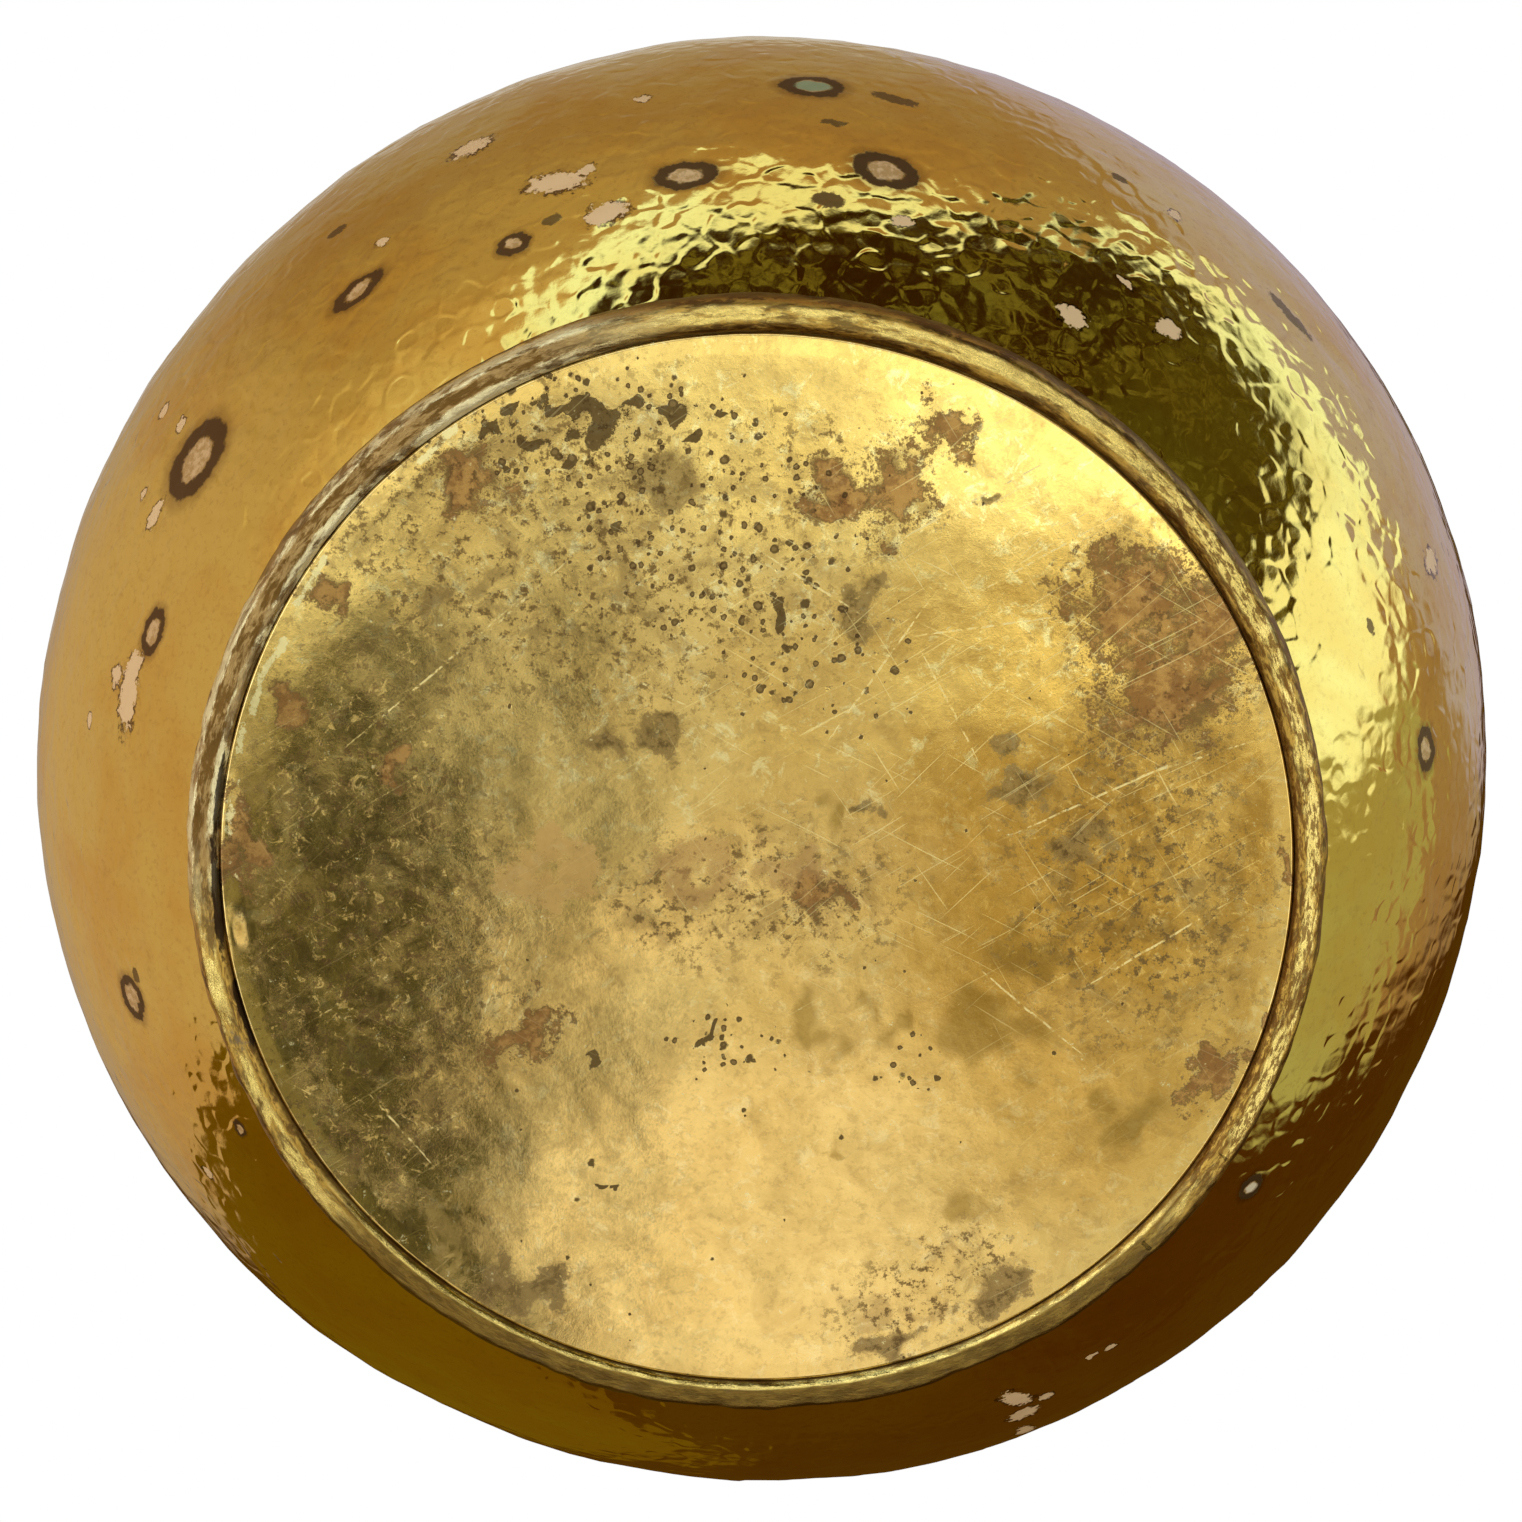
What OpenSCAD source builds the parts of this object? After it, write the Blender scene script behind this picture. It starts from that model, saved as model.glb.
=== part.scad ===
// Hammered brass pot with a narrow mouth: a raised sheet wall, a separate base plate let into
// a foot bead, soft solder in the joint, and a rim rolled over a wire.
// +Z is up. The origin is the middle of the foot, on the surface that the pot stands on.

/* [Body] */
// Widest outside diameter, at the belly
belly_d = 200; // [180:5:220]
// Height of the belly above the resting surface
belly_h = 66; // [62:1:72]
// Thickness of the sheet brass
sheet_t = 1.2; // [0.9:0.1:1.4]

/* [Foot] */
// Outside diameter of the foot bead, where it meets the wall
foot_d = 132; // [122:1:140]
// Height at which the bead's outer edge meets the wall
foot_h = 4.2; // [4:0.1:4.8]
// Width of the foot bead
bead_w = 4.3; // [4.1:0.1:5]
// Width of the flat land worn on the bead's crest
land_w = 1.4; // [1:0.1:1.8]
// Height of the seam between the bead and the base plate
seam_h = 0.9; // [0.7:0.1:1]
// Rise of the hollow base plate's middle above that seam
dish = 0.8; // [0.5:0.1:0.9]

/* [Joint] */
// Lap of the wall's foot flange over the base plate
lap_w = 2.1; // [1.5:0.1:2.5]
// Thickness of the solder film
film = 0.2; // [0.1:0.05:0.3]
// Width of the solder fillet inside the pot
fillet_w = 3; // [2:0.5:3.5]

/* [Mouth] */
// Angle round the belly at which the shoulder turns into the neck, in degrees
shoulder_a = 42; // [38:1:46]
// Radius of the hollow curve at the neck
neck_r = 9; // [7:0.5:11]
// Lean of the lip outwards from upright, in degrees
lip_lean = 30; // [15:5:40]
// Diameter of the wire inside the rolled rim
wire_d = 3.6; // [3:0.2:4.4]
// Part of the circle that the rim rolls round the wire, in degrees
roll_a = 290; // [270:5:300]

/* [Hidden] */
$fn = 96;

wall_steps = 44;      // chords in each long curve
roll_steps = 20;      // chords round the wire
small_steps = 10;     // chords in each small curve
slip = 0.05;          // clearance round the wire
edge_gap = 0.15;      // gap between the base plate's edge and the bead
outer_share = 0.38;   // part of the bead's width that lies outside its land
solder_share = 0.7;   // part of the flange's edge that the solder fillet covers

belly_r = belly_d / 2;
foot_r = foot_d / 2;
wire_r = wire_d / 2;

// The wall is one ellipse in section, through the foot and the belly.
belly_b = (belly_h - foot_h) / sqrt(1 - pow(foot_r / belly_r, 2));
seam_r = foot_r - bead_w;
plate_r = seam_r - edge_gap;
flange_z = seam_h + sheet_t + film;
flange_r = plate_r - lap_w;
corner_z = flange_z + 2 * sheet_t; // inside corner where the wall turns into its flange

function steps(a, b, n) = [for (i = [0:n]) a + (b - a) * i / n];
function reversed(v) = [for (i = [len(v) - 1:-1:0]) v[i]];
function ellipse_angle(z) = asin((z - belly_h) / belly_b);

// A point on the outside of the wall at angle t round the belly, moved out by d.
function normal_at(t) = let (n = [belly_b * cos(t), belly_r * sin(t)]) n / norm(n);
function wall_point(t, d = 0) =
    [belly_r * cos(t), belly_h + belly_b * sin(t)] + d * normal_at(t);

foot_a = ellipse_angle(foot_h);
flange_a = ellipse_angle(flange_z);

// Neck: a hollow arc that carries on from the shoulder.
shoulder_n = normal_at(shoulder_a);
neck_c = wall_point(shoulder_a, neck_r);
neck_from = 180 + atan2(shoulder_n[1], shoulder_n[0]);
neck_to = 180 - lip_lean;
function neck_point(a, d = 0) = neck_c + (neck_r - d) * [cos(a), sin(a)];

// Rim: the sheet rolled outwards round the wire.
roll_ri = wire_r + slip;
roll_c = neck_point(neck_to) - roll_ri * [cos(neck_to), sin(neck_to)];
function roll_point(a, r) = roll_c + r * [cos(a), sin(a)];

// Height of the base plate's underside at radius r, inside its level margin.
function plate_z(r) = seam_h + dish * (1 - pow(r / flange_r, 2));

// The bead's underside, from the seam over the land to the wall.
land_out = foot_r - bead_w * outer_share;
land_in = land_out - land_w;
bead_under = concat(
    [for (a = steps(0, 90, small_steps))
        [land_in - (land_in - seam_r) * cos(a), seam_h * (1 - sin(a))]],
    [for (a = steps(90, 0, small_steps))
        [land_out + (foot_r - land_out) * cos(a), foot_h * (1 - sin(a))]]
);

// The outside of the wall between the flange and the bead's outer edge.
foot_run = steps(flange_a, foot_a, small_steps);

// Raised wall with its foot flange, neck and rolled lip, in one sheet.
module body_shell() {
    corner_a = ellipse_angle(corner_z);
    outside = concat(
        [[flange_r, flange_z]],
        [for (t = foot_run) wall_point(t)],
        [for (t = steps(foot_a, shoulder_a, wall_steps)) wall_point(t)],
        [for (a = steps(neck_from, neck_to, small_steps)) neck_point(a)]
    );
    rolled = concat(
        [for (a = steps(neck_to, neck_to - roll_a, roll_steps)) roll_point(a, roll_ri)],
        [for (a = steps(neck_to - roll_a, neck_to, roll_steps)) roll_point(a, roll_ri + sheet_t)]
    );
    inside = concat(
        [for (a = steps(neck_to, neck_from, small_steps)) neck_point(a, -sheet_t)],
        [for (t = steps(shoulder_a, corner_a, wall_steps)) wall_point(t, -sheet_t)],
        [[flange_r, flange_z + sheet_t]]
    );
    color("goldenrod") rotate_extrude() polygon(concat(outside, rolled, inside));
}

// Round base plate, a little hollow from below, whose level margin lies under the flange.
module base_plate() {
    hollow = [for (r = steps(0, flange_r, wall_steps)) [r, plate_z(r)]];
    under = concat(hollow, [[plate_r, seam_h]]);
    top = [for (p = reversed(under)) p + [0, sheet_t]];
    color("gold") rotate_extrude() polygon(concat(under, top));
}

// Half-round bead that frames the plate and that the pot stands on.
module foot_ring() {
    against_wall = [for (t = reversed(foot_run)) wall_point(t, film)];
    above = [for (p = against_wall) if (p[1] > flange_z - film && p[0] < foot_r) p];
    color("darkgoldenrod") rotate_extrude()
        polygon(concat(bead_under, above, [[seam_r, flange_z - film]]));
}

// Soft solder: a film under the flange and between bead and wall, and a fillet inside the pot.
module joint_solder() {
    fillet_run = steps(flange_r, flange_r - fillet_w, small_steps);
    outer_run = [for (t = foot_run) let (p = wall_point(t, film)) if (p[1] > flange_z - film) p];
    near_wall = [for (t = reversed(foot_run)) wall_point(t)];
    lower = concat(
        [for (r = reversed(fillet_run)) [r, plate_z(r) + sheet_t]],
        [[seam_r, flange_z - film]],
        [for (p = outer_run) if (p[0] < foot_r) p]
    );
    flange_edge = [[flange_r, flange_z], [flange_r, flange_z + sheet_t * solder_share]];
    color("slategray") rotate_extrude() polygon(concat(lower, near_wall, flange_edge));
}

// Iron wire that stiffens the rim, closed inside the roll.
module rim_wire() {
    color("dimgray") rotate_extrude() translate(roll_c) circle(r = wire_r);
}

body_shell();
base_plate();
foot_ring();
joint_solder();
rim_wire();
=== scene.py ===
"""Hammered brass pot, seen from below: the looks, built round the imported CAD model.

Everything is in metres in the row's frame: +Z up the pot's axis, origin in the middle of the foot.
Angles round the pot are in degrees from +X towards +Y, and heights are above the foot.
"""

import math
from functools import reduce

import bmesh
import bpy
import numpy as np
from mathutils import Matrix, Vector


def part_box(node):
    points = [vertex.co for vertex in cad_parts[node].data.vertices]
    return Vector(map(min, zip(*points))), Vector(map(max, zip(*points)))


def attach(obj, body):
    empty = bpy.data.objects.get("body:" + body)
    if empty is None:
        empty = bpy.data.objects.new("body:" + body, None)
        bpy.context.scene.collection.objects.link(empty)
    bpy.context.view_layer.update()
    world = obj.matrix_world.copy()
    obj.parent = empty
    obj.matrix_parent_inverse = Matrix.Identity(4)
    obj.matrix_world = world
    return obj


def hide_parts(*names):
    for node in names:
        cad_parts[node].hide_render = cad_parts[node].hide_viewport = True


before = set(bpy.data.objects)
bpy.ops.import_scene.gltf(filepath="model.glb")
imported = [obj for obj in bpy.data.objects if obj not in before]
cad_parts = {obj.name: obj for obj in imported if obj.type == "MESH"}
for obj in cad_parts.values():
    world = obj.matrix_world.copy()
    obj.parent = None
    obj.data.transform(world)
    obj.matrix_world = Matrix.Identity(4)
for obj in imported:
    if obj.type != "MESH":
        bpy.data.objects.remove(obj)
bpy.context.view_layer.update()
scene = bpy.context.scene

MM = 0.001

# ------- sizes

# As in the CAD source, where a packed box can't tell them. Angles are in degrees.
sheet = 1.2 * MM           # thickness of the brass
lap = 2.1 * MM             # level margin of the base plate, under the wall's flange
solder_film = 0.2 * MM     # between wall, plate and bead
edge_gap = 0.15 * MM       # between the base plate's edge and the bead
slip = 0.05 * MM           # clearance round the wire
fillet = 3 * MM            # width of the solder fillet inside the pot
land = 1.4 * MM            # width of the land worn on the bead's crest
outer_share = 0.38         # part of the bead's width that lies outside its land
lip_lean = 30
neck_r = 9 * MM
shoulder_angle = 42
roll_angle = 290

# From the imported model.
body_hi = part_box("body_shell")[1]
bead_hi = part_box("foot_ring")[1]
plate_lo, plate_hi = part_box("base_plate")
wire_lo, wire_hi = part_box("rim_wire")

belly_r = body_hi.x
foot_r, foot_h = bead_hi.x, bead_hi.z
seam_r = plate_hi.x + edge_gap
seam_h = plate_lo.z
dish = plate_hi.z - plate_lo.z - sheet
flange_z = seam_h + sheet + solder_film
flange_r = plate_hi.x - lap
land_out = foot_r - outer_share * (foot_r - seam_r)
wire_r = (wire_hi.z - wire_lo.z) / 2
roll_centre = np.array([wire_hi.x - wire_r, (wire_lo.z + wire_hi.z) / 2])


def widest_height(node):
    """Height of a CAD node's widest ring of vertices."""
    points = np.array([v.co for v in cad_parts[node].data.vertices])
    return float(points[np.argmax(np.hypot(points[:, 0], points[:, 1])), 2])


belly_h = widest_height("body_shell")
belly_b = (belly_h - foot_h) / math.sqrt(1 - (foot_r / belly_r) ** 2)


# ------- sections, as (radius, height)

def wall_points(degrees, offset=0.0):
    """Points on the wall's ellipse at these angles round the belly, moved out by offset."""
    t = np.radians(degrees)
    normal = np.stack([belly_b * np.cos(t), belly_r * np.sin(t)], 1)
    normal /= np.linalg.norm(normal, axis=1, keepdims=True)
    return np.stack([belly_r * np.cos(t), belly_h + belly_b * np.sin(t)], 1) + offset * normal


def ellipse_angle(height):
    return math.degrees(math.asin((height - belly_h) / belly_b))


def arc(centre, radius, start, end, count):
    t = np.radians(np.linspace(start, end, count))
    return np.array(centre) + radius * np.stack([np.cos(t), np.sin(t)], 1)


def wall_run(start, end, count, offset=0.0):
    return wall_points(np.linspace(start, end, count), offset)


def plate_height(radius):
    """Underside of the base plate: a little hollow, with a level margin."""
    return seam_h + dish * np.clip(1 - (radius / flange_r) ** 2, 0, 1)


def section_normals(points):
    """Normals of a section that runs anticlockwise round its solid, pointing out of it."""
    along = np.gradient(points, axis=0)
    normal = np.stack([along[:, 1], -along[:, 0]], 1)
    return normal / np.maximum(np.linalg.norm(normal, axis=1, keepdims=True), 1e-12)


def arc_length(points):
    steps = np.linalg.norm(np.diff(points, axis=0), axis=1)
    return np.concatenate([[0], np.cumsum(steps)])


# ------- numbers that look random

def scatter(a, b, seed):
    """A fixed random number from 0 to 1 for each pair of whole numbers."""
    x = np.sin(a * 12.9898 + b * 78.233 + seed * 37.719) * 43758.5453
    return x - np.floor(x)


def swell(points, length, seed, count=14):
    """Smooth noise with about this wavelength and a spread of 1, as a sum of plane waves."""
    rng = np.random.default_rng(seed)
    total = np.zeros(points.shape[:-1])
    for _ in range(count):
        way = rng.normal(size=3)
        way *= rng.uniform(0.6, 1.5) / np.linalg.norm(way) / length
        total += np.sin(2 * math.pi * (points @ way) + rng.uniform(0, 2 * math.pi))
    return total * math.sqrt(2 / count)


def between(value, low, high):
    """0 below low, 1 above high and smooth between them."""
    t = np.clip((value - low) / (high - low), 0, 1)
    return t * t * (3 - 2 * t)


def turn_from(theta, degrees):
    """Angle from a direction round the pot, in degrees, from -180 to 180."""
    return (np.degrees(theta) - degrees + 180) % 360 - 180


# ------- meshes

def ring_points(section, theta):
    """X, Y and Z of every point of a section, turned round the axis."""
    radius = section[:, :1]
    return np.stack(np.broadcast_arrays(
        radius * np.cos(theta), radius * np.sin(theta), section[:, 1:]), 2)


def lathe(name, section, columns, move, ends_meet=True):
    """Turns a section round the axis. move gives every point's offset along its normal.

    A section whose ends don't meet has them by the axis, and the holes there are closed.
    """
    normals = section_normals(section)
    theta = np.linspace(0, 2 * math.pi, columns, endpoint=False)[None, :]
    radius, height = section[:, :1], section[:, 1:]
    shift = move(theta)
    r = radius + shift * normals[:, :1]
    points = np.stack([r * np.cos(theta), r * np.sin(theta), height + shift * normals[:, 1:]], 2)
    rows = np.arange(len(section) * columns).reshape(len(section), columns)
    nexts = np.roll(rows, -1, axis=1)
    lower, upper = rows[:-1], rows[1:]
    lower_next, upper_next = nexts[:-1], nexts[1:]
    if ends_meet:
        lower, upper = rows, np.roll(rows, -1, axis=0)
        lower_next, upper_next = nexts, np.roll(nexts, -1, axis=0)
    quads = np.stack([lower, lower_next, upper_next, upper], 2).reshape(-1, 4)
    mesh = bpy.data.meshes.new(name)
    mesh.from_pydata(points.reshape(-1, 3), [], quads)
    if not ends_meet:
        close_on_axis(mesh, rows[0], rows[-1])
    mesh.polygons.foreach_set("use_smooth", np.ones(len(mesh.polygons), bool))
    obj = bpy.data.objects.new(name, mesh)
    scene.collection.objects.link(obj)
    return obj


def close_on_axis(mesh, first, last):
    """Fills the small holes at a lathed solid's two poles with fans."""
    bm = bmesh.new()
    bm.from_mesh(mesh)
    bm.verts.ensure_lookup_table()
    for verts, flip in [([bm.verts[i] for i in first], True), ([bm.verts[i] for i in last], False)]:
        centre = bm.verts.new(sum((v.co for v in verts), Vector()) / len(verts))
        for a, b in zip(verts, verts[1:] + verts[:1]):
            bm.faces.new((b, a, centre) if flip else (a, b, centre))
    bm.to_mesh(mesh)
    bm.free()


def paint(obj, name, values):
    """Stores one number for each vertex, which the materials read by name."""
    layer = obj.data.attributes.new(name, "FLOAT", "POINT")
    layer.data.foreach_set("value", values.astype(np.float32))


def vertices_mm(obj):
    found = np.empty(len(obj.data.vertices) * 3, np.float32)
    obj.data.vertices.foreach_get("co", found)
    return found.reshape(-1, 3) / MM


def distance_to_marks(x, y, marks):
    """Distance to the nearest of these ellipses, 1 at its edge."""
    nearest_mark = np.full(x.shape, 4.0)
    for at_x, at_y, long, wide, turn in marks:
        c, s = math.cos(math.radians(turn)), math.sin(math.radians(turn))
        along = ((x - at_x) * c + (y - at_y) * s) / long
        across = ((y - at_y) * c - (x - at_x) * s) / wide
        nearest_mark = np.minimum(nearest_mark, np.hypot(along, across))
    return nearest_mark


def paint_marks(obj, kinds):
    """Stores the distance to the marks of each kind, whose outlines wander by a millimetre."""
    points = vertices_mm(obj)
    x = points[:, 0] + 0.9 * swell(points, 8, 51) + 0.6 * swell(points, 3.5, 52)
    y = points[:, 1] + 0.9 * swell(points, 8, 53) + 0.6 * swell(points, 3.5, 54)
    for name, marks in kinds.items():
        paint(obj, name, distance_to_marks(x, y, marks))


def paint_margin_highlight(obj):
    """Stores where a thin pale line of painted highlight runs along the plate's margin."""
    points = vertices_mm(obj)
    radius = np.hypot(points[:, 0], points[:, 1]) + 0.25 * swell(points, 9, 61)
    aside = np.abs(radius - MARGIN_HIGHLIGHT_R)
    away = np.abs(turn_from(np.arctan2(points[:, 1], points[:, 0]), MARGIN_HIGHLIGHT_TURN))
    broken = between(swell(points, 5, 62), -0.9, 0.3)
    paint(obj, "margin_highlight", between(-aside, -0.7, -0.2) * between(-away, -36, -20) * broken)


def show(obj, slot, *materials):
    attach(obj, "root")
    for material in materials:
        obj.data.materials.append(material)


# ------- the wall

COLUMNS = 640
COURSE = 3.6 * MM          # distance between rings of hammer marks
MARK = 3.3 * MM            # distance between marks along a ring
FACE_R = 60 * MM           # how round the marks are in section
MARK_TILT = 0.034          # spread of the marks' slopes
MARK_SINK = 0.04 * MM      # how far the marks lie inside the wall on average
MARK_DEPTH = 0.05 * MM     # how much deeper the hardest blow is than the lightest
ROUND_LOSS = 0.22 * MM     # how far the wall lies inside its true circle on average
BEATEN_FROM, BEATEN_TO = 25 * MM, 100 * MM  # arc above the foot where the wall is least round
LIP_ROWS = 4               # rows of the rolled rim that face into the pot


def hammer_marks(arc_at, radius_at, theta, radius):
    """Height of the planished surface: the lowest of the blows round each point."""
    best = np.full(np.broadcast(arc_at, theta).shape, 1.0)
    ring = np.floor(arc_at / COURSE)
    for up in (-1, 0, 1):
        j = ring + up
        r_j = np.interp((j + 0.5) * COURSE, *radius_at)
        count = np.maximum(np.round(2 * math.pi * r_j / MARK), 8)
        place = theta / (2 * math.pi) * count
        for side in (-1, 0, 1):
            i = np.mod(np.floor(place) + side, count)
            turn = (i + 0.5 + 0.7 * (scatter(i, j, 1) - 0.5)) / count * 2 * math.pi
            du = radius * ((theta - turn + math.pi) % (2 * math.pi) - math.pi)
            dv = arc_at - (j + 0.5 + 0.7 * (scatter(i, j, 2) - 0.5)) * COURSE
            tilt_u = MARK_TILT * 1.7 * (scatter(i, j, 3) + scatter(i, j, 4) - 1)
            tilt_v = MARK_TILT * 1.7 * (scatter(i, j, 5) + scatter(i, j, 6) - 1)
            depth = MARK_DEPTH * scatter(i, j, 7)
            blow = (du * du + dv * dv) / (2 * FACE_R) + tilt_u * du + tilt_v * dv - depth
            best = np.minimum(best, blow)
    return best


def out_of_round(theta):
    """How far the wall stands out from a true circle, from being beaten by hand."""
    deg = np.degrees(theta)
    return MM * (0.3 * np.cos(np.radians(2 * (deg + 45)))
                 + 0.38 * np.cos(np.radians(3 * (deg - 50)))
                 + 0.14 * np.cos(np.radians(4 * (deg + 25))))


def dents(theta, arc_at, radius):
    """A few knocks in the wall: angle, arc above the foot, half-widths round and up, depth."""
    knocks = ((8, 36, 5, 7, 0.45), (13, 27, 3, 4, 0.2), (2, 33, 3, 3, -0.12),
              (-42, 44, 9, 2.2, 0.3), (-66, 28, 5, 4, 0.2), (-44, 38, 6, 3, 0.18),
              (5, 31, 5, 5, 0.25), (140, 60, 12, 9, 0.35),
              (-150, 92, 8, 10, 0.3), (60, 75, 10, 8, 0.3), (-80, 98, 12, 7, 0.25))
    total = np.zeros(np.broadcast(theta, arc_at).shape)
    for angle, up, wide, tall, depth in knocks:
        du = radius * np.radians(turn_from(theta, angle)) / (wide * MM)
        dv = (arc_at - up * MM) / (tall * MM)
        total -= depth * MM * np.exp(-(du * du + dv * dv))
    return total


def wall():
    """The raised wall in one sheet: outside, neck, rolled rim, inside and foot flange."""
    foot_angle, inner_angle = ellipse_angle(flange_z), ellipse_angle(flange_z + 2 * sheet)
    shoulder = wall_points([shoulder_angle])[0]
    shoulder_n = wall_points([shoulder_angle], 1.0)[0] - shoulder
    neck_centre = shoulder + neck_r * shoulder_n
    neck_from = 180 + math.degrees(math.atan2(shoulder_n[1], shoulder_n[0]))
    neck_to = 180 - lip_lean
    roll_in, roll_out = wire_r + slip, wire_r + slip + sheet
    # The last number of each run is its count of rows, and joints between runs are kept once.
    outside = np.concatenate([wall_run(foot_angle, 0, 84),
                              wall_run(0, shoulder_angle, 26)[1:]])
    neck = arc(neck_centre, neck_r, neck_from, neck_to, 6)[1:]
    curl_in = arc(roll_centre, roll_in, neck_to, neck_to - roll_angle, 10)[1:]
    curl_out = arc(roll_centre, roll_out, neck_to - roll_angle, neck_to, 15)
    neck_in = arc(neck_centre, neck_r + sheet, neck_to, neck_from, 4)[1:]
    inside = wall_run(shoulder_angle, inner_angle, 18, -sheet)[1:]
    flange = [[flange_r, flange_z + sheet], [flange_r, flange_z]]
    section = np.concatenate([outside, neck, curl_in, curl_out, neck_in, inside, flange])
    out_rows = len(outside)
    first_in = out_rows + len(neck) + len(curl_in) + len(curl_out)
    outside_arc = arc_length(section[:out_rows])

    def move(theta):
        radius = section[:, :1]
        shape = (len(section), COLUMNS)
        shift = np.zeros(shape)
        angle = np.broadcast_to(theta, shape)
        along = np.broadcast_to(
            np.interp(section[:, 1:], section[:out_rows, 1], outside_arc), shape)
        bulge = between(along, 2 * MM, BEATEN_FROM) * between(-along, -125 * MM, -BEATEN_TO)
        large = bulge * (out_of_round(angle) - ROUND_LOSS)
        points = ring_points(section, theta)
        large = large + bulge * 0.09 * MM * swell(points, 26 * MM, 5)
        # The wall stays a little inside the CAD one, and the marks fade at foot and neck.
        large = np.minimum(large, -0.07 * MM * bulge) + dents(angle, along, radius)
        arc_rows = outside_arc[:, None]
        marks = hammer_marks(arc_rows, (outside_arc, section[:out_rows, 0]), theta,
                             section[:out_rows, :1])
        marks = marks - marks.mean()
        fade = between(arc_rows, 0.5 * MM, 2.5 * MM)
        fade = fade * between(-arc_rows, -outside_arc[-1], -outside_arc[-1] + 4 * MM)
        shift[:out_rows] = np.minimum(large[:out_rows] + fade * (marks - MARK_SINK), 0)
        shift[first_in:-2] = -large[first_in:-2] - 0.03 * MM * swell(
            points[first_in:-2], 5 * MM, 9)
        return shift

    obj = lathe("hammered_wall", section, COLUMNS, move)
    slots = np.ones((len(section), COLUMNS), int)
    slots[: first_in - LIP_ROWS] = 0
    obj.data.polygons.foreach_set("material_index", slots.reshape(-1))
    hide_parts("body_shell")
    return obj


# ------- the foot

def base_plate():
    """Round plate, gently waved by wear, with a level margin."""
    columns = 480
    # Rows from just off the axis outwards, closer at the margin.
    under_r = np.concatenate([np.linspace(0.4 * MM, 54 * MM, 88),
                              np.linspace(54.4 * MM, plate_hi.x, 24)])
    under = np.stack([under_r, plate_height(under_r)], 1)
    top = under[::-5] + [0, sheet]
    section = np.concatenate([under, top])

    def move(theta):
        radius = section[:, :1]
        points = ring_points(section * [1, 0], theta)
        calm = between(-radius, -plate_hi.x, -plate_hi.x + 7 * MM)
        waves = (0.046 * swell(points, 34 * MM, 21) + 0.01 * swell(points, 14 * MM, 22)
                 + 0.003 * swell(points, 5 * MM, 23))
        shift = waves * MM * calm
        # Two stretches where the seam to the bead has opened.
        open_seam = np.exp(-(turn_from(theta, 187) / 3.2) ** 2)
        open_seam = open_seam + 0.7 * np.exp(-(turn_from(theta, 174) / 2.2) ** 2)
        shift = shift + 0.25 * MM * open_seam * between(radius, 59 * MM, 61 * MM)
        shift[len(under):] *= -1
        return shift

    obj = lathe("worn_base_plate", section, columns, move, ends_meet=False)
    slots = np.ones(len(obj.data.polygons), int)
    slots[: (len(under) - 1) * columns] = 0
    slots[-2 * columns: -columns] = 0
    obj.data.polygons.foreach_set("material_index", slots)
    paint_marks(obj, {"stains": STAINS, "grey_stains": GREY_STAINS, "blotches": BLOTCHES,
                      "crease_shade": CREASE_SHADE_STREAKS, "bump_shade": BUMP_SHADE_RINGS, "foxed": FOXED, "crowded": CROWDED})
    paint_margin_highlight(obj)
    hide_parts("base_plate")
    return obj


def foot_bead():
    """Half-round bead with knocks and a land rubbed flat."""
    land_in = land_out - land
    a = np.radians(np.linspace(0, 90, 12))[:, None]
    inner = np.hstack([land_in - (land_in - seam_r) * np.cos(a), seam_h * (1 - np.sin(a))])
    outer = np.hstack([land_out + (foot_r - land_out) * np.cos(a[::-1]),
                       foot_h * (1 - np.sin(a[::-1]))])
    above = wall_run(ellipse_angle(foot_h - 0.3 * MM), ellipse_angle(seam_h + sheet), 4,
                     solder_film)
    inner_top = [[seam_r, seam_h + sheet]]
    held = len(above) + len(inner_top)
    section = np.concatenate([inner, outer, above, inner_top])

    def move(theta):
        points = ring_points(section, theta)
        knocks = 0.09 * swell(points, 11 * MM, 31) + 0.05 * swell(points, 3.5 * MM, 32)
        # Rubbed down by 0.16 mm on average.
        shift = -MM * np.clip(0.16 + knocks, 0, 0.5)
        shift[0] = shift[-held:] = 0
        return shift

    obj = lathe("worn_foot_bead", section, 720, move)
    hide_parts("foot_ring")
    return obj


def solder():
    """The fillet inside the pot. The film in the joint is hidden and left out."""
    run = np.linspace(flange_r - fillet, flange_r, 8)
    on_the_plate = np.stack([run, plate_height(run) + sheet], 1)
    # The top of the fillet, from the flange's edge inwards: how far in and how far up, in mm.
    inwards_and_up = np.array([(0, 0.84), (1.2, 0.62), (2.3, 0.55)]) * MM
    top = [flange_r, flange_z] + inwards_and_up * [-1, 1]
    section = np.concatenate([on_the_plate, top])

    def move(theta):
        points = ring_points(section, theta)
        shift = 0.1 * MM * swell(points, 6 * MM, 41)
        shift[:len(run)] = 0
        return shift

    obj = lathe("solder_run", section, 360, move)
    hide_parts("joint_solder")
    return obj


# ------- node trees, written briefly

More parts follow.
